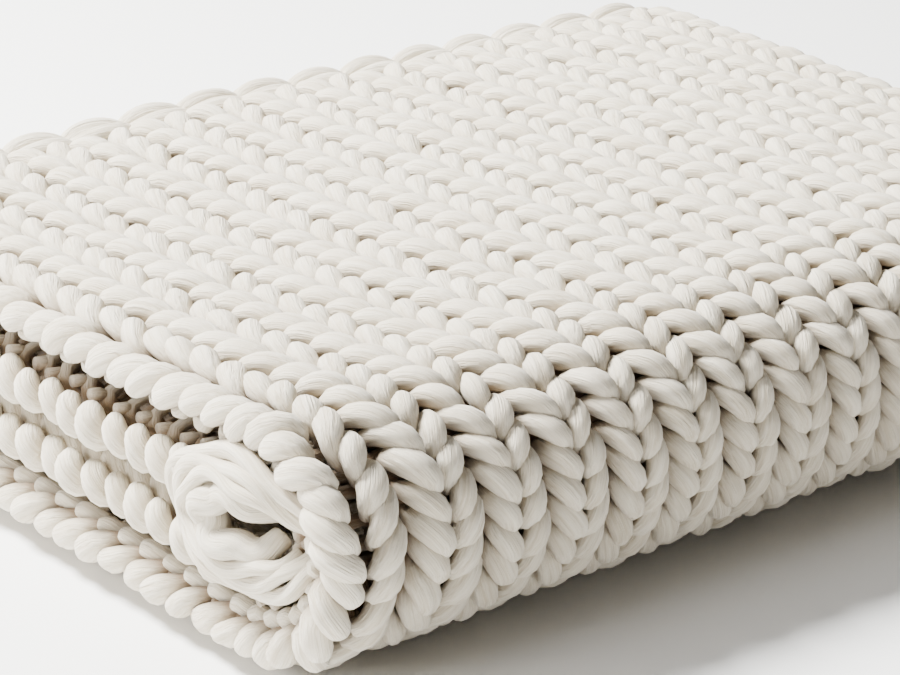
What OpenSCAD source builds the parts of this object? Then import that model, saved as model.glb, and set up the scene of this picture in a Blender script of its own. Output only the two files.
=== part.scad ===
// Chunky hand-knit throw, folded twice into four plies.
// Frame: +X along the front fold, from the open selvedges to the side fold,
// +Y from the front fold to the back edges, +Z up.
// Origin: centre of the bottom of the bounding box.

/* [Knitting] */
// Width of one stitch column
stitch_w = 36; // [30:1:48]
// Stitch columns across the folded throw
columns = 15; // [10:1:20]
// Thickness of one knitted ply
ply_t = 28; // [24:1:31]

/* [Folded size] */
// Depth from the front fold to the back edges
depth = 412; // [340:1:480]
// Height of the four plies together
height = 130; // [128:1:140]
// Depth of the cast-on and bind-off chains
edge_d = 22; // [16:1:28]

/* [Hidden] */
$fn = 96;

// Heights of the undersides of the four plies. The two inner plies nearly
// touch each other, and both stand clear of the outer ones.
half_gap = 0.4;
mid_z = height / 2;
lower_inner_z = mid_z - half_gap - ply_t;
upper_inner_z = mid_z + half_gap;
top_z = height - ply_t;

// The side fold of each half joins an outer ply to an inner one.
half_h = mid_z - half_gap;
end_r = half_h / 2;
end_inner_r = end_r - ply_t;

// The front fold turns about the middle of the stack.
front_r = mid_z;

// Straight stretches of every ply.
straight_x = columns * stitch_w;
straight_y = depth - front_r - edge_d;
total_x = straight_x + end_r;
left_x = -total_x / 2;
bend_x = left_x + straight_x;
front_y = -depth / 2;
ply_y = front_y + front_r;
back_y = ply_y + straight_y;

wool = "#ece5d8";
wool_inner = "#e2d9ca";
wool_edge = "#d9cfbf";
round_edge = 0.5 * ply_t;

// Section of one ply in X and Z: flat, with a rounded selvedge at -X.
module ply_section() {
    translate([left_x + round_edge, round_edge])
        circle(r = round_edge);
    translate([left_x + round_edge, 0])
        square([straight_x - round_edge, ply_t]);
}

// Section of the side fold that joins two plies, half a ring.
module end_section() {
    intersection() {
        difference() {
            circle(r = end_r);
            circle(r = end_inner_r);
        }
        translate([0, -end_r])
            square([end_r, 2 * end_r]);
    }
}

// Runs a section drawn in X and Z along +Y from the height z.
module along_y(z, y_from, y_length) {
    translate([0, y_from + y_length, z])
        rotate([90, 0, 0])
            linear_extrude(y_length)
                children();
}

// One flat knitted ply with its underside at the height z.
module ply(z) {
    along_y(z, ply_y, straight_y)
        ply_section();
}

// The side fold of the half whose underside is at the height z.
module end_bend(z) {
    along_y(z + end_r, ply_y, straight_y)
        translate([bend_x, 0])
            end_section();
}

// The chain along the back edge of one half: both plies and their side fold.
module edge_chain(z) {
    along_y(z, back_y, edge_d) {
        ply_section();
        translate([0, half_h - ply_t])
            ply_section();
        translate([bend_x, end_r])
            end_section();
    }
}

// Sweeps a section half a turn round the front, from the upper half to the
// lower one, with the section's underside at the radius inner_r.
module around_front(inner_r) {
    translate([0, ply_y, mid_z])
        rotate([0, -90, 180])
            rotate_extrude(angle = 180)
                translate([inner_r, 0])
                    mirror([1, -1])
                        children();
}

module bottom_ply() {
    color(wool) ply(0);
}

module lower_inner_ply() {
    color(wool_inner) ply(lower_inner_z);
}

module lower_end_bend() {
    color(wool) end_bend(0);
}

module cast_on_edge() {
    color(wool_edge) edge_chain(0);
}

module top_ply() {
    color(wool) ply(top_z);
}

module upper_inner_ply() {
    color(wool_inner) ply(upper_inner_z);
}

module upper_end_bend() {
    color(wool) end_bend(upper_inner_z);
}

module bind_off_edge() {
    color(wool_edge) edge_chain(upper_inner_z);
}

module outer_front_bend() {
    color(wool) around_front(front_r - ply_t) ply_section();
}

module inner_front_bend() {
    color(wool_inner) around_front(half_gap) ply_section();
}

// The side folds of the two halves meet round the front.
module corner_bend() {
    color(wool)
        around_front(half_gap + end_r)
            translate([bend_x, 0])
                end_section();
}

bottom_ply();
lower_inner_ply();
lower_end_bend();
cast_on_edge();
top_ply();
upper_inner_ply();
upper_end_bend();
bind_off_edge();
outer_front_bend();
inner_front_bend();
corner_bend();
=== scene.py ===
"""A chunky hand-knit wool throw, folded into four plies, knitted loop by loop round the CAD frame.

Every course of the knitting is one tube of roving. It is laid out flat in fabric
coordinates first: u runs along the course, course counts from the cast-on chain and n
stands out of the knit side, all in stitches or courses. place() then carries those onto
the folded throw.
"""

import math

import bpy
import numpy as np
from mathutils import Matrix, Vector


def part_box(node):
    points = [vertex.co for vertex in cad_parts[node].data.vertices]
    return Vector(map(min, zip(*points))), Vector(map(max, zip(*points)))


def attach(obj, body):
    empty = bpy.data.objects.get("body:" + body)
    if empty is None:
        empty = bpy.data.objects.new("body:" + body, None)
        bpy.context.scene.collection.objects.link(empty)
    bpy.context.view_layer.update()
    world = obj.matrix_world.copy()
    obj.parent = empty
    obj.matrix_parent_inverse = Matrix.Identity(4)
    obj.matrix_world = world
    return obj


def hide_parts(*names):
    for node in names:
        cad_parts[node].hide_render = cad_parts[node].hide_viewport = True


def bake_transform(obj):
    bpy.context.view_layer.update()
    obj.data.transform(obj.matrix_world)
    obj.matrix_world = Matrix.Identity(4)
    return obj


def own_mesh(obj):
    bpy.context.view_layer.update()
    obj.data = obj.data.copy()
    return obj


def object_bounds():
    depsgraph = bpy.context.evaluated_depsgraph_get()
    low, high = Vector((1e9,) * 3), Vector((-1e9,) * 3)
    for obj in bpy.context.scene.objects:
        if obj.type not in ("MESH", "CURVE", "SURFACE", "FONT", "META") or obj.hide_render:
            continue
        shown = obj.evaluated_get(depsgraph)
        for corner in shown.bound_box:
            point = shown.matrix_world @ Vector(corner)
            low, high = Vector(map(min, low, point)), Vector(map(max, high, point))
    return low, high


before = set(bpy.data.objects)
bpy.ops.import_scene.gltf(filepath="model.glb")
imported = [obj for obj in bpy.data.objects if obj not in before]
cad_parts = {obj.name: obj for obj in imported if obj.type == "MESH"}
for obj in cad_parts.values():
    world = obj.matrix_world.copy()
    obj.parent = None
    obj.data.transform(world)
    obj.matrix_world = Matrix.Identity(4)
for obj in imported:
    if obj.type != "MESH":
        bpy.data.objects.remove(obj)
cad_low, cad_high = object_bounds()

# ---------------------------------------------------------------- sizes from the frame
ply_low, ply_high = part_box("top_ply")
inner_low, inner_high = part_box("lower_inner_ply")
upper_low, upper_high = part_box("upper_inner_ply")

LEFT_X = ply_low.x
BEND_X = ply_high.x
END_X = cad_high.x
FRONT_Y = cad_low.y
EDGE_Y = ply_high.y                 # where the plies end and the edge chains start
HEIGHT = cad_high.z
PLY_T = ply_high.z - ply_low.z
MID_Z = HEIGHT / 2

# ---------------------------------------------------------------- the knitting
COLUMNS = 15                        # stitch columns in one ply
BEND_COLUMNS = 2                    # columns round the side fold
ALL_COLUMNS = 2 * COLUMNS + BEND_COLUMNS
STITCH = (BEND_X - LEFT_X) / COLUMNS
COURSES = 19                        # courses in one flat ply
BEND_COURSES = 14                   # courses round the front fold
ALL_COURSES = 2 * COURSES + BEND_COURSES
YARN_PER_STITCH = 2.6 * STITCH      # length of roving in one stitch, for the fibres
TWIST = 26.0                        # radians of twist per metre of roving

# One leg of a stitch, from the middle of the loop behind the course below to the middle
# of its own head: share of the way, u, s, n, half width, half thickness, all in stitches.
LEG = (
    (0.00, 0.00, -0.43, -0.22, 0.085, 0.085),
    (0.10, 0.19, -0.42, -0.18, 0.088, 0.085),
    (0.19, 0.34, -0.39, -0.05, 0.100, 0.092),
    (0.28, 0.39, -0.28, 0.07, 0.124, 0.115),
    (0.42, 0.32, -0.06, 0.155, 0.176, 0.160),
    (0.56, 0.22, 0.14, 0.165, 0.184, 0.167),
    (0.68, 0.14, 0.29, 0.09, 0.150, 0.140),
    (0.78, 0.14, 0.41, -0.11, 0.105, 0.095),
    (0.88, 0.26, 0.48, -0.23, 0.085, 0.085),
    (1.00, 0.50, 0.49, -0.27, 0.080, 0.080),
)
SHINGLE = 0.02                      # how far the leg tips stand over the course below
FOLD_SHINGLE = 0.10                 # how much more they do round the front fold
RING = 16                           # corners of one ring round the roving
RINGS_PER_STITCH = 28
KNIT_TOP = 0.40 * STITCH            # reach of the knitting out of the knit side
KNIT_BOTTOM = -0.36 * STITCH        # and out of the purl side
KNIT_MIDDLE = (KNIT_TOP + KNIT_BOTTOM) / 2
SELVEDGE_COLUMNS = 1.3              # over how many columns the looser selvedge fades out
SEED = 11

# Unevenness of the stitches: reach of the random part of each value, in stitches for u, s
# and n, as a share for the thickness and the lean, and in the fibre pattern for the shade.
UNEVEN = {"u": 0.035, "s": 0.045, "n": 0.025, "fat": 0.10, "lean": 0.16, "shade": 0.002}

# The loops along the selvedges, in stitches.
LOOP_START = -0.46                  # s where the yarn leaves its course
LOOP_REACH = 0.20                   # how far it stands out past the selvedge
LOOP_RADIUS = 0.080                 # half thickness at its ends
LOOP_DEPTH = 0.38                   # depth that keeps the painted crease shade off

# ---------------------------------------------------------------- the folded shape
BEND_DEPTH = 2.07 * STITCH          # how far back the front fold starts
FOLD_POWER = 2.25                   # 2 is round, more is squarer
FOLD_Y = FRONT_Y + BEND_DEPTH
PITCH = (EDGE_Y - FOLD_Y) / COURSES  # from one course to the next in the flat plies
PITCH_STITCHES = PITCH / STITCH
OUTER_LOW_Z = PLY_T / 2
OUTER_HIGH_Z = HEIGHT - PLY_T / 2
INNER_LOW_Z = (inner_low.z + inner_high.z) / 2
INNER_HIGH_Z = (upper_low.z + upper_high.z) / 2
INNER_TURN_Y = FRONT_Y + 1.5 * PLY_T
TURN_R = 0.82 * PLY_T               # the inner fold is a loop, rounder than its plies are apart
EASE = 3.5                          # courses over which the inner plies part towards it
BUNCH = 0.80                        # thickness of the inner ply where it is bunched in the loop
CURL_R = 0.26 * STITCH              # radius of the curled selvedge
CURL_X = LEFT_X + CURL_R + 0.40 * STITCH  # where the curl starts
CURL_ANGLE = math.radians(105)      # how far it turns under
CURL_LIMIT = 1.2                    # share of that turn that the selvedge's loops may reach
INNER_INSET = 0.45 * STITCH         # how far the inner plies' selvedges lie back
END_HALF_X = END_X - BEND_X - PLY_T / 2  # reach of the side fold's middle surface
COIL_Y = INNER_TURN_Y + 0.75 * STITCH  # middle of the bunched strands at the open end
COIL_Z = MID_Z + 0.20 * STITCH
COIL_DEPTH = 0.21                   # gives the strands a light painted crease shade
CORNER_EASE = 0.9                   # stitches by which the front-left corner's columns are wider
CORNER_COLUMNS = 1.2                # over how many columns that fades out

# Strands of the bunched inner selvedge at the open end of the fold: half depth in y, half
# height, roving radius and reach past the selvedge in stitches, first and last degree.
COIL_STRANDS = (
    (1.20, 0.82, 0.130, 0.04, 4, 356),
    (1.02, 0.67, 0.125, 0.12, 8, 352),
    (0.84, 0.54, 0.115, 0.19, 14, 344),
    (0.50, 0.31, 0.200, 0.14, 40, 334),
)

# ---------------------------------------------------------------- colours and camera
ROVING_LIGHT = (0.745, 0.682, 0.550, 1)
ROVING_DARK = (0.555, 0.475, 0.345, 1)
FIBRE_TINT = (0.82, 0.76, 0.66, 1)  # the palest single fibres
PATCH_TINT = (0.70, 0.61, 0.48, 1)  # slow change of colour over the throw
# painted shade: the dark brown put into the creases between the stitches, mixed in by depth
PAINTED_CREASE_SHADE = (0.24, 0.16, 0.09, 1)
FLOOR_LIGHT = (0.93, 0.93, 0.925, 1)
FLOOR_DARK = (0.90, 0.90, 0.895, 1)
CAMERA_AT = (-1.062, -1.182, 0.690)
CAMERA_ELEVATION = 22.2             # degrees
CAMERA_AZIMUTH = -40.7
CAMERA_ROLL = -1.5
CAMERA_LENS = 137.9                 # millimetres, on a 36 mm sensor


def polyline(points):
    """A path through (y, z) points with its length measured from the start."""
    points = np.array(points, float)
    steps = np.hypot(*np.diff(points, axis=0).T)
    return points, np.concatenate([[0], np.cumsum(steps)])


def outer_points():
    """The outer ply's middle surface: back, along the bottom, round the front, along the top."""
    half_y = BEND_DEPTH - PLY_T / 2
    half_z = (OUTER_HIGH_Z - OUTER_LOW_Z) / 2
    angle = np.linspace(0, math.pi, 241)
    power = 2 / FOLD_POWER
    y = FOLD_Y - half_y * np.abs(np.sin(angle)) ** power
    z = MID_Z - half_z * np.sign(np.cos(angle)) * np.abs(np.cos(angle)) ** power
    return np.stack([y, z], 1)


def inner_points():
    """The inner ply's middle surface inside the front fold, from y = FOLD_Y and back to it."""
    angle = np.linspace(0, math.pi, 61)
    y = INNER_TURN_Y + TURN_R - TURN_R * np.sin(angle)
    turn = np.stack([y, MID_Z - TURN_R * np.cos(angle)], 1)
    return np.concatenate([[[FOLD_Y, MID_Z - TURN_R]], turn, [[FOLD_Y, MID_Z + TURN_R]]])


def smoothstep(value):
    value = np.clip(value, 0, 1)
    return value * value * (3 - 2 * value)


def fold_path(points, low_z, high_z):
    """Returns a function from a course number to (y, z) and the outward (y, z) normal.

    low_z and high_z are the heights of the flat plies before and after the bend.
    """
    bend, length = polyline(points)

    def at(course):
        course = np.asarray(course, float)
        before = np.maximum(COURSES - course, 0)
        after = np.maximum(course - COURSES - BEND_COURSES, 0)
        along = np.clip((course - COURSES) / BEND_COURSES, 0, 1) * length[-1]
        y = np.interp(along, length, bend[:, 0]) + PITCH * (before + after)
        z = np.interp(along, length, bend[:, 1])
        z = z + (low_z - bend[0, 1]) * smoothstep(before / EASE)
        z = z + (high_z - bend[-1, 1]) * smoothstep(after / EASE)
        return y, z

    def with_normal(course):
        y, z = at(course)
        y0, z0 = at(np.asarray(course) - 0.25)
        y1, z1 = at(np.asarray(course) + 0.25)
        size = np.hypot(y1 - y0, z1 - z0)
        return y, z, (z0 - z1) / size, (y1 - y0) / size

    return with_normal


outer_path = fold_path(outer_points(), OUTER_LOW_Z, OUTER_HIGH_Z)
inner_path = fold_path(inner_points(), INNER_LOW_Z, INNER_HIGH_Z)


def in_fold(course, reach):
    """1 in the middle of the front fold, less towards its ends; reach is a share of the fold."""
    return np.exp(-((course - COURSES - BEND_COURSES / 2) / (reach * BEND_COURSES)) ** 2)


def bunched(u, course):
    """1 where the ply keeps its thickness, BUNCH where the inner ply turns inside the fold."""
    from_bend = np.abs(course - COURSES - BEND_COURSES / 2) - BEND_COURSES / 2
    near = 1 - smoothstep(from_bend / EASE)
    return 1 - (1 - BUNCH) * near * smoothstep((u - COLUMNS) / BEND_COLUMNS)


def sway(x, y):
    """Slow unevenness of the plies, in metres."""
    wave = np.sin(13.0 * x + 5.0 * y + 0.6) + 0.7 * np.sin(-9.0 * x + 19.0 * y + 2.1)
    return 0.0011 * (wave + 0.6 * np.sin(31.0 * x + 3.0))


def across_ply(from_edge, inside):
    """From stitches in from a selvedge to x, and the drop and angle of the curl under it.

    Only the outer plies' selvedge curls. The inner plies' selvedge lies a little back.
    """
    inset = np.where(inside, INNER_INSET * (COLUMNS - from_edge) / COLUMNS, 0)
    flat_x = BEND_X - (COLUMNS - np.minimum(from_edge, COLUMNS)) * STITCH
    flat_x = flat_x + np.maximum(inset, 0)
    curl_at = (CURL_X - LEFT_X) / STITCH
    into_curl = np.where(inside, 0, np.clip(curl_at - from_edge, 0, None))
    curl = CURL_ANGLE * np.minimum(into_curl / curl_at, CURL_LIMIT)
    x = np.where(into_curl > 0, CURL_X - CURL_R * np.sin(curl), flat_x)
    return x, CURL_R * (1 - np.cos(curl)), curl


def place(u, course, n):
    """Carries fabric coordinates onto the folded throw.

    u is in stitches along the course, course counts from the cast-on chain, n is in
    stitches out of the knit side. Returns points and the knit side's normals.
    """
    u, course, n = np.broadcast_arrays(u, course, n)
    out_y, out_z, out_ny, out_nz = outer_path(course)
    in_y, in_z, in_ny, in_nz = inner_path(course)
    inside = u > COLUMNS + BEND_COLUMNS / 2
    from_edge = np.where(inside, ALL_COLUMNS - u, u)
    turn = np.clip((u - COLUMNS) / BEND_COLUMNS, 0, 1) * math.pi

    # the outer ply's first columns are drawn wide at the front corner
    eased = (1 - np.exp(-np.clip(from_edge, 0, None) / CORNER_COLUMNS)) * in_fold(course, 0.5)
    eased = CORNER_EASE * eased * np.clip(1 - from_edge / COLUMNS, 0, 1)
    from_edge = from_edge + np.where(inside, 0, eased)
    x, drop, curl = across_ply(from_edge, inside)

    # round the side fold
    middle_y, middle_z = (out_y + in_y) / 2, (out_z + in_z) / 2
    half_y, half_z = (out_y - in_y) / 2, (out_z - in_z) / 2
    x = x + END_HALF_X * np.sin(turn)
    y = middle_y + half_y * np.cos(turn)
    z = middle_z + half_z * np.cos(turn)

    # the knit side faces out of the outer ply and into the fold from the inner one
    towards_out = np.cos(turn)
    ny = np.where(towards_out > 0, out_ny, in_ny) * towards_out
    nz = np.where(towards_out > 0, out_nz, in_nz) * towards_out
    nx = np.sin(turn)
    y = y - ny * drop
    z = z - nz * drop
    ny, nz = ny * np.cos(curl), nz * np.cos(curl)
    nx = nx - np.sin(curl)
    size = np.sqrt(nx ** 2 + ny ** 2 + nz ** 2)
    normal = np.stack([nx, ny, nz], -1) / size[..., None]

    rise = (n * STITCH - KNIT_MIDDLE) * bunched(u, course)
    point = np.stack([x, y, z], -1) + normal * rise[..., None]
    point[..., 2] += sway(x, y) * np.clip((point[..., 2] - PLY_T) / PLY_T, 0, 1)
    return point, normal


# ---------------------------------------------------------------- roving
class Wool:
    """Collects tubes of roving and turns them into one mesh."""

    def __init__(self):
        self.points, self.fibres, self.depths, self.faces, self.caps = [], [], [], [], []
        self.count = 0

    def add(self, centre, normal, wide, deep, along, depth, shade):
        """Adds one tube.

        centre and normal hold a point and a direction for each ring. wide and deep are the
        half width and half thickness, along is the place on the strand, all in metres.
        depth is how far out of the knitting a ring lies, in stitches; it sets the painted crease
        shade. shade varies the wool.
        """
        rings = len(centre)
        tangent = np.gradient(centre, axis=0)
        tangent /= np.linalg.norm(tangent, axis=1, keepdims=True)
        side = np.cross(tangent, normal)
        side /= np.linalg.norm(side, axis=1, keepdims=True)
        up = np.cross(side, tangent)
        angle = np.arange(RING) * 2 * math.pi / RING
        cosine, sine = np.cos(angle)[:, None], np.sin(angle)[:, None]

        phase = 55 * along[:, None] + 7 * shade[:, None]
        lobes = 1 + 0.045 * np.sin(2 * angle + phase) + 0.035 * np.sin(3 * angle - 1.7 * phase)
        lobes = (lobes + 0.02 * np.sin(5 * angle + 2.3 * phase))[..., None]
        ring = side[:, None] * cosine * wide[:, None, None] * lobes
        ring = ring + up[:, None] * sine * deep[:, None, None] * lobes
        self.points.append((centre[:, None] + ring).reshape(-1, 3))

        twist = angle + TWIST * along[:, None]
        around = 0.5 * (wide + deep)[:, None]
        fibre = np.stack([
            np.broadcast_to(along[:, None], twist.shape) + shade[:, None] * 3,
            np.cos(twist) * around + shade[:, None],
            np.sin(twist) * around,
        ], -1)
        self.fibres.append(fibre.reshape(-1, 3))
        # depth of each corner of the ring: the sides that face into the knitting get more painted
        # crease shade
        corner_depth = depth[:, None] + sine[:, 0] * deep[:, None] / STITCH
        self.depths.append(corner_depth.reshape(-1))

        row = self.count + (np.arange(rings - 1) * RING)[:, None]
        here = np.arange(RING)[None, :]
        after = (here + 1) % RING
        quad = np.stack([row + here, row + RING + here, row + RING + after, row + after], -1)
        self.faces.append(quad.reshape(-1, 4))
        first = self.count + np.arange(RING)
        last = first + (rings - 1) * RING
        self.caps.append(np.stack([first, last[::-1]]))
        self.count += rings * RING

    def build(self, name, material):
        points = np.concatenate(self.points)
        faces = np.concatenate(self.faces)
        caps = np.concatenate(self.caps)
        mesh = bpy.data.meshes.new(name)
        mesh.vertices.add(len(points))
        mesh.vertices.foreach_set("co", points.astype(np.float32).ravel())
        corners = np.concatenate([faces.ravel(), caps.ravel()])
        mesh.loops.add(len(corners))
        mesh.loops.foreach_set("vertex_index", corners.astype(np.int32))
        sizes = np.concatenate([np.full(len(faces), 4), np.full(len(caps), RING)])
        mesh.polygons.add(len(sizes))
        starts = np.concatenate([[0], np.cumsum(sizes)[:-1]])
        mesh.polygons.foreach_set("loop_start", starts.astype(np.int32))
        mesh.polygons.foreach_set("use_smooth", np.ones(len(sizes), bool))
        fibre = mesh.attributes.new("fibre", "FLOAT_VECTOR", "POINT")
        fibre.data.foreach_set("vector", np.concatenate(self.fibres).astype(np.float32).ravel())
        depth = mesh.attributes.new("depth", "FLOAT", "POINT")
        depth.data.foreach_set("value", np.concatenate(self.depths).astype(np.float32))
        mesh.update(calc_edges=True)
        mesh.validate()
        mesh.materials.append(material)
        piece = bpy.data.objects.new(name, mesh)
        bpy.context.scene.collection.objects.link(piece)
        return piece


rng = np.random.default_rng(SEED)
GRID = (ALL_COURSES + 4, 2 * ALL_COLUMNS + 4)
wobble = {key: rng.uniform(-1, 1, GRID) for key in UNEVEN}


def wobble_at(key, course, u):
    """A smooth random value between -1 and 1 along one course, with a knot in each leg."""
    row = wobble[key][course]
    x = np.clip(2 * u + 1, 0, GRID[1] - 1.001)
    i = x.astype(int)
    f = x - i
    f = f * f * (3 - 2 * f)
    return row[i] * (1 - f) + row[i + 1] * f


def smooth_leg(samples=201):
    """LEG as smooth columns: Catmull-Rom through the rows, mirrored past both ends."""
    keys = np.array(LEG)
    before, after = keys[1].copy(), keys[-2].copy()
    before[0], before[1] = -before[0], -before[1]
    after[0], after[1] = 2 - after[0], 1 - after[1]
    keys = np.concatenate([[before], keys, [after]])
    slope = (keys[2:, 1:] - keys[:-2, 1:]) / (keys[2:, :1] - keys[:-2, :1])
    share = np.linspace(0, 1, samples)
    i = np.clip(np.searchsorted(keys[1:-1, 0], share, "right") - 1, 0, len(LEG) - 2)
    step = (keys[i + 2, 0] - keys[i + 1, 0])[:, None]
    f = (share[:, None] - keys[i + 1, :1]) / step
    p0, p1, m0, m1 = keys[i + 1, 1:], keys[i + 2, 1:], slope[i] * step, slope[i + 1] * step
    rest = (2 * f ** 3 - 3 * f ** 2 + 1) * p0 + (f ** 3 - 2 * f ** 2 + f) * m0
    return share, rest + (3 * f ** 2 - 2 * f ** 3) * p1 + (f ** 3 - f ** 2) * m1


LEG_SHARE, LEG_SHAPE = smooth_leg()


def course_tube(wool, course, first, last):
    """Lays one course from stitch column first up to last."""
    steps = (last - first) * RINGS_PER_STITCH
    g = first + np.arange(steps + 1) / RINGS_PER_STITCH
    column = np.floor(g)
    turn = 2 * (g - column)
    share = np.where(turn > 1, 2 - turn, turn)
    leg_u, s, n, wide, deep = (np.interp(share, LEG_SHARE, row) for row in LEG_SHAPE.T)
    flip = np.where(turn > 1, -1, 1)
    folded = in_fold(course, 0.36)
    from_selvedge = np.minimum(g, ALL_COLUMNS - g)
    loose = 1 + 1.2 * np.exp(-from_selvedge / SELVEDGE_COLUMNS) * (0.4 + 0.6 * folded)
    lean = 1 + UNEVEN["lean"] * loose * wobble_at("lean", course, g)
    fat = 1 + (0.22 * np.exp(-g / CORNER_COLUMNS) - 0.10) * folded
    fat = (fat + UNEVEN["fat"] * wobble_at("fat", course, g)) * bunched(g, course)
    even_u = 0.5 * share
    u = column + np.where(turn > 1, 1, 0) + flip * (even_u + (leg_u - even_u) * lean)
    u = u + UNEVEN["u"] * loose * wobble_at("u", course, g)
    s = s * (1 - 0.06 * folded) + UNEVEN["s"] * loose * wobble_at("s", course, g)
    shingle = SHINGLE + FOLD_SHINGLE * folded
    n = n + shingle * np.sin(2 * math.pi * share) * np.sin(math.pi * share) ** 2
    n = n + UNEVEN["n"] * loose * wobble_at("n", course, g)
    centre, normal = place(u, course + 0.5 + s / PITCH_STITCHES, n)
    along = g * YARN_PER_STITCH
    shade = UNEVEN["shade"] * wobble_at("shade", course, g) + 0.31 * course
    wool.add(centre, normal, STITCH * wide * fat, STITCH * deep * fat, along, n, shade)


def edge_loops(wool, first, last, u, outward, bulge, middle, slant):
    """The yarn turning from one course to the next at a selvedge, seen as a row of bulbs.

    outward is the direction of u out of the fabric. bulge is how much thicker a loop's
    middle is than its ends, middle its place in the ply's thickness and slant how far it
    leans across that, all in stitches.
    """
    t = np.linspace(0, 1, 15)
    at_edge = np.full(t.shape, u)
    for course in range(first, last):
        size = (1 + 0.15 * wobble_at("fat", course, at_edge)) * bunched(u, course)
        reach = outward * (LOOP_REACH + 0.05 * wobble_at("u", course, at_edge))
        s = LOOP_START + PITCH_STITCHES * t
        n = middle + slant * np.sin(2 * math.pi * t)
        across = u + reach * np.sin(math.pi * t)
        centre, normal = place(across, course + 0.5 + s / PITCH_STITCHES, n)
        thick = STITCH * size * (LOOP_RADIUS + bulge * np.sin(math.pi * t))
        along = 1.1 * STITCH * t + 0.4 * course
        shade = np.full(t.shape, 0.17 * course)
        wool.add(centre, normal, thick, thick, along, np.full(t.shape, LOOP_DEPTH), shade)


def coil(name, body, node, material):
    """The bunched strands of the inner fold's selvedge: rings round a dark middle."""
    wool = Wool()
    for number, (half_y, half_z, radius, out, first, last) in enumerate(COIL_STRANDS):
        t = np.linspace(0, 1, 60)
        angle = np.radians(first + (last - first) * t)
        wave = 0.05 * np.sin(5 * angle + 1.9 * number)
        y = COIL_Y - (half_y + wave) * STITCH * np.cos(angle)
        z = COIL_Z + (half_z + wave) * STITCH * np.sin(angle)
        inwards = 0.45 * STITCH * (2 * t - 1) ** 6
        x = LEFT_X + 0.30 * STITCH - out * STITCH + inwards + 0.04 * STITCH * np.sin(4 * angle)
        centre = np.stack([x, y, z], -1)
        normal = np.stack([-np.ones_like(t), 0 * t, 0 * t], -1)
        thick = STITCH * radius * (0.75 + 0.25 * np.sin(math.pi * t))
        along = 6 * half_y * STITCH * t
        shade = np.full(t.shape, 1.3 * number)
        wool.add(centre, normal, thick, thick, along, np.full(t.shape, COIL_DEPTH), shade)
    piece = wool.build(name, material)
    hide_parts(node)
    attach(piece, body)
    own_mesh(piece)


def chain(name, course_edge, away, body, node, material):
    """The cast-on or bind-off chain: one row of stitches lying along the back edge."""
    wool = Wool()
    steps = ALL_COLUMNS * RINGS_PER_STITCH
    g = np.arange(steps + 1) / RINGS_PER_STITCH
    column = np.minimum(np.floor(g), ALL_COLUMNS - 1)
    turn = 2 * (g - column)
    share = np.where(turn > 1, 2 - turn, turn)
    along_chain = column + 0.10 + 1.18 * np.sin(0.5 * math.pi * share) ** 1.5
    across = 0.17 * np.sin(math.pi * share ** 0.8) * np.where(turn > 1, -1, 1)
    n = -0.10 + 0.20 * np.sin(math.pi * np.clip(share * 1.15, 0, 1)) ** 0.8
    thick = STITCH * (0.11 + 0.075 * np.sin(math.pi * np.clip(share * 1.1, 0, 1)))
    course = course_edge + away * (0.31 + across) / PITCH_STITCHES
    centre, normal = place(np.clip(along_chain, 0, ALL_COLUMNS), course, n)
    along = g * YARN_PER_STITCH
    # the depth n + 0.30 keeps most of the painted crease shade off the chain
    wool.add(centre, normal, thick, thick, along, n + 0.30, 0.4 * column)
    piece = wool.build(name, material)
    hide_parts(node)
    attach(piece, body)


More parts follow.
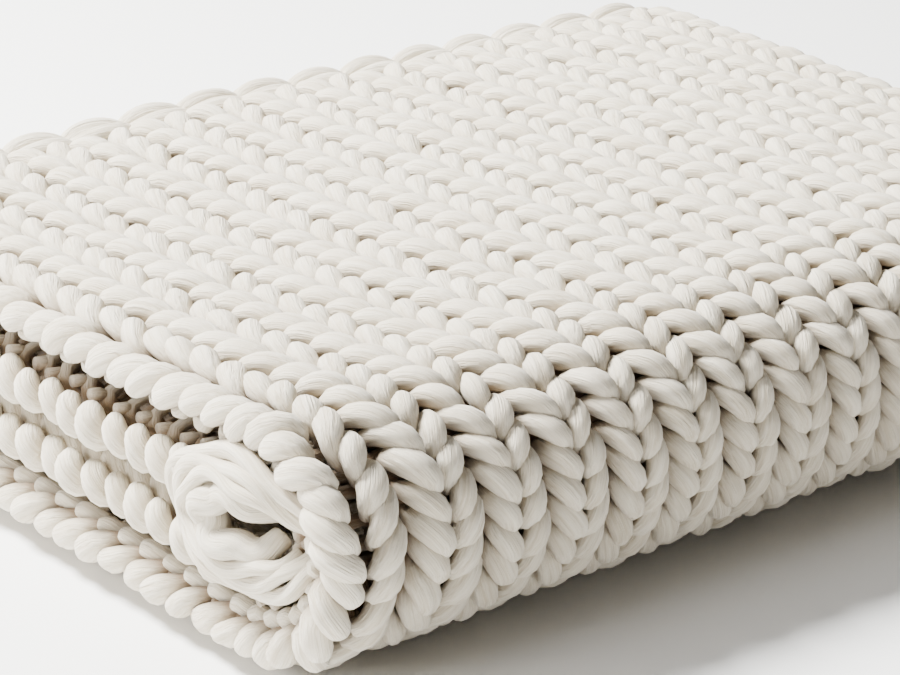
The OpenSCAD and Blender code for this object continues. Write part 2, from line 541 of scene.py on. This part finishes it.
def knit(name, columns, courses, body, nodes, material):
    """One piece of the knitting: a range of columns and of courses. Without a body it stays
    unattached.
    """
    wool = Wool()
    for course in range(*courses):
        course_tube(wool, course, *columns)
    if columns[0] == 0:
        edge_loops(wool, *courses, 0, -1, bulge=0.045, middle=-0.16, slant=0.15)
    if columns[1] == ALL_COLUMNS and body:
        edge_loops(wool, *courses, ALL_COLUMNS, 1, bulge=0.110, middle=0.03, slant=0.13)
    piece = wool.build(name, material)
    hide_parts(*nodes)
    if body:
        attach(piece, body)
    else:
        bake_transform(piece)


# ---------------------------------------------------------------- material
def wool_material(name, light, dark):
    """Unspun wool roving: fine fibres along the yarn, soft bundles, matt with a little sheen."""
    material = bpy.data.materials.new(name)
    material.use_nodes = True
    nodes, links = material.node_tree.nodes, material.node_tree.links
    shader = nodes["Principled BSDF"]

    def node(kind, **values):
        made = nodes.new(kind)
        for key, value in values.items():
            if hasattr(made, key):
                setattr(made, key, value)
            else:
                made.inputs[key.replace("_", " ")].default_value = value
        return made

    fibre = node("ShaderNodeAttribute", attribute_name="fibre")
    depth = node("ShaderNodeAttribute", attribute_name="depth")

    def streaks(across, along, detail):
        stretch = node("ShaderNodeMapping")
        stretch.inputs["Scale"].default_value = (along, across, across)
        noise = node("ShaderNodeTexNoise", Scale=1.0, Detail=detail, Roughness=0.62, Distortion=0.25)
        links.new(fibre.outputs["Vector"], stretch.inputs["Vector"])
        links.new(stretch.outputs["Vector"], noise.inputs["Vector"])
        return noise.outputs["Fac"]

    def mix(factor, first, second):
        made = node("ShaderNodeMix", data_type="RGBA")
        for socket, value in zip((made.inputs[i] for i in (0, 6, 7)), (factor, first, second)):
            if isinstance(value, bpy.types.NodeSocket):
                links.new(value, socket)
            else:
                socket.default_value = value
        return made.outputs[2]

    def ramp(value, low, high, low_out, high_out):
        made = node("ShaderNodeMapRange")
        made.interpolation_type = "SMOOTHSTEP"
        links.new(value, made.inputs["Value"])
        limits = {"From Min": low, "From Max": high, "To Min": low_out, "To Max": high_out}
        for key, number in limits.items():
            made.inputs[key].default_value = number
        return made.outputs["Result"]

    fine = streaks(across=1500, along=45, detail=5)
    bundle = streaks(across=330, along=16, detail=3)
    slow = node("ShaderNodeTexNoise", Scale=11.0, Detail=2.0)
    place_in_space = node("ShaderNodeTexCoord")
    links.new(place_in_space.outputs["Object"], slow.inputs["Vector"])

    colour = mix(ramp(bundle, 0.3, 0.7, 0, 1), dark, light)
    colour = mix(ramp(fine, 0.38, 0.66, 0.0, 0.55), colour, FIBRE_TINT)
    colour = mix(ramp(slow.outputs["Fac"], 0.35, 0.65, 0.0, 0.25), colour, PATCH_TINT)
    # painted shade in the creases: the deeper the roving lies in the knitting, the darker and
    # browner it is painted, less so deep on the purl side
    crease = node("ShaderNodeMath", operation="MULTIPLY")
    links.new(ramp(depth.outputs["Fac"], -0.10, 0.29, 1.0, 0.0), crease.inputs[0])
    links.new(ramp(depth.outputs["Fac"], -0.34, -0.14, 0.25, 1.0), crease.inputs[1])
    colour = mix(crease.outputs[0], colour, PAINTED_CREASE_SHADE)
    links.new(colour, shader.inputs["Base Color"])
    links.new(ramp(fine, 0.3, 0.7, 0.82, 0.96), shader.inputs["Roughness"])

    height = node("ShaderNodeMath", operation="ADD")
    scaled = node("ShaderNodeMath", operation="MULTIPLY")
    scaled.inputs[1].default_value = 2.2
    links.new(bundle, scaled.inputs[0])
    links.new(scaled.outputs[0], height.inputs[0])
    links.new(fine, height.inputs[1])
    bump = node("ShaderNodeBump", Strength=0.85, Distance=0.0011)
    links.new(height.outputs[0], bump.inputs["Height"])
    links.new(bump.outputs["Normal"], shader.inputs["Normal"])
    shader.inputs["Sheen Weight"].default_value = 0.25
    shader.inputs["Sheen Roughness"].default_value = 0.6
    shader.inputs["Specular IOR Level"].default_value = 0.15
    return material


# ---------------------------------------------------------------- the throw
cream = wool_material("cream_roving", light=ROVING_LIGHT, dark=ROVING_DARK)

LOWER = (0, COURSES)
ROUND = (COURSES, COURSES + BEND_COURSES)
UPPER = (COURSES + BEND_COURSES, ALL_COURSES)
OUTER = (0, COLUMNS)
SIDE = (COLUMNS, COLUMNS + BEND_COLUMNS)
INNER = (COLUMNS + BEND_COLUMNS, ALL_COLUMNS)

knit("bottom_ply_knit", OUTER, LOWER, "lower_half", ["bottom_ply"], cream)
knit("lower_inner_knit", INNER, LOWER, "lower_half", ["lower_inner_ply"], cream)
knit("lower_end_knit", SIDE, LOWER, "lower_half", ["lower_end_bend"], cream)
knit("top_ply_knit", OUTER, UPPER, "upper_half", ["top_ply"], cream)
knit("upper_inner_knit", INNER, UPPER, "upper_half", ["upper_inner_ply"], cream)
knit("upper_end_knit", SIDE, UPPER, "upper_half", ["upper_end_bend"], cream)
knit("outer_front_knit", OUTER, ROUND, None, ["outer_front_bend"], cream)
knit("inner_front_knit", INNER, ROUND, None, ["inner_front_bend"], cream)
knit("corner_knit", SIDE, ROUND, None, ["corner_bend"], cream)
coil("inner_fold_coil", "lower_half", "inner_front_bend", cream)
chain("cast_on_chain", 0, -1, "lower_half", "cast_on_edge", cream)
chain("bind_off_chain", ALL_COURSES, 1, "upper_half", "bind_off_edge", cream)


# ---------------------------------------------------------------- floor, light, camera
def floor_material():
    material = bpy.data.materials.new("pale_floor")
    material.use_nodes = True
    nodes, links = material.node_tree.nodes, material.node_tree.links
    shader = nodes["Principled BSDF"]
    noise = nodes.new("ShaderNodeTexNoise")
    noise.inputs["Scale"].default_value = 3.0
    tint = nodes.new("ShaderNodeMix")
    tint.data_type = "RGBA"
    tint.inputs[6].default_value = FLOOR_DARK
    tint.inputs[7].default_value = FLOOR_LIGHT
    links.new(noise.outputs["Fac"], tint.inputs[0])
    links.new(tint.outputs[2], shader.inputs["Base Color"])
    shader.inputs["Roughness"].default_value = 0.9
    return material


def add_floor():
    bpy.ops.mesh.primitive_plane_add(size=12, location=(0, 0, -0.0005))
    floor = bpy.context.object
    floor.name = "studio_floor"
    floor.data.materials.append(floor_material())


def add_light(name, location, target, size, power, colour):
    data = bpy.data.lights.new(name, "AREA")
    data.shape = "DISK"
    data.size = size
    data.energy = power
    data.color = colour
    light = bpy.data.objects.new(name, data)
    light.location = location
    aim = Vector(target) - Vector(location)
    light.rotation_euler = aim.to_track_quat("-Z", "Y").to_euler()
    bpy.context.scene.collection.objects.link(light)


def add_world(colour, strength):
    world = bpy.data.worlds.new("studio")
    world.use_nodes = True
    background = world.node_tree.nodes["Background"]
    background.inputs["Color"].default_value = colour
    background.inputs["Strength"].default_value = strength
    bpy.context.scene.world = world


def add_camera():
    """A long lens at the front left, a little above the throw."""
    elevation, azimuth = math.radians(CAMERA_ELEVATION), math.radians(CAMERA_AZIMUTH)
    roll = math.radians(CAMERA_ROLL)
    back = Vector((math.sin(azimuth) * math.cos(elevation),
                   -math.cos(azimuth) * math.cos(elevation), math.sin(elevation)))
    right = (-back).cross(Vector((0, 0, 1))).normalized()
    down = (-back).cross(right)
    image_x = math.cos(roll) * right + math.sin(roll) * down
    image_y = math.sin(roll) * right - math.cos(roll) * down
    data = bpy.data.cameras.new("camera")
    data.sensor_width = 36
    data.lens = CAMERA_LENS
    camera = bpy.data.objects.new("camera", data)
    turn = Matrix((image_x, image_y, back)).transposed()
    camera.matrix_world = Matrix.Translation(Vector(CAMERA_AT)) @ turn.to_4x4()
    bpy.context.scene.collection.objects.link(camera)
    bpy.context.scene.camera = camera


add_floor()
add_light("key", (-0.9, 1.3, 1.9), (0, 0, 0.1), 0.8, 400, (1.0, 1.0, 0.97))
add_light("side", (-2.4, 0.0, 1.1), (-0.1, 0, 0.06), 1.2, 60, (1.0, 0.98, 0.95))
add_world((1.0, 0.98, 0.95, 1), 0.17)
add_camera()
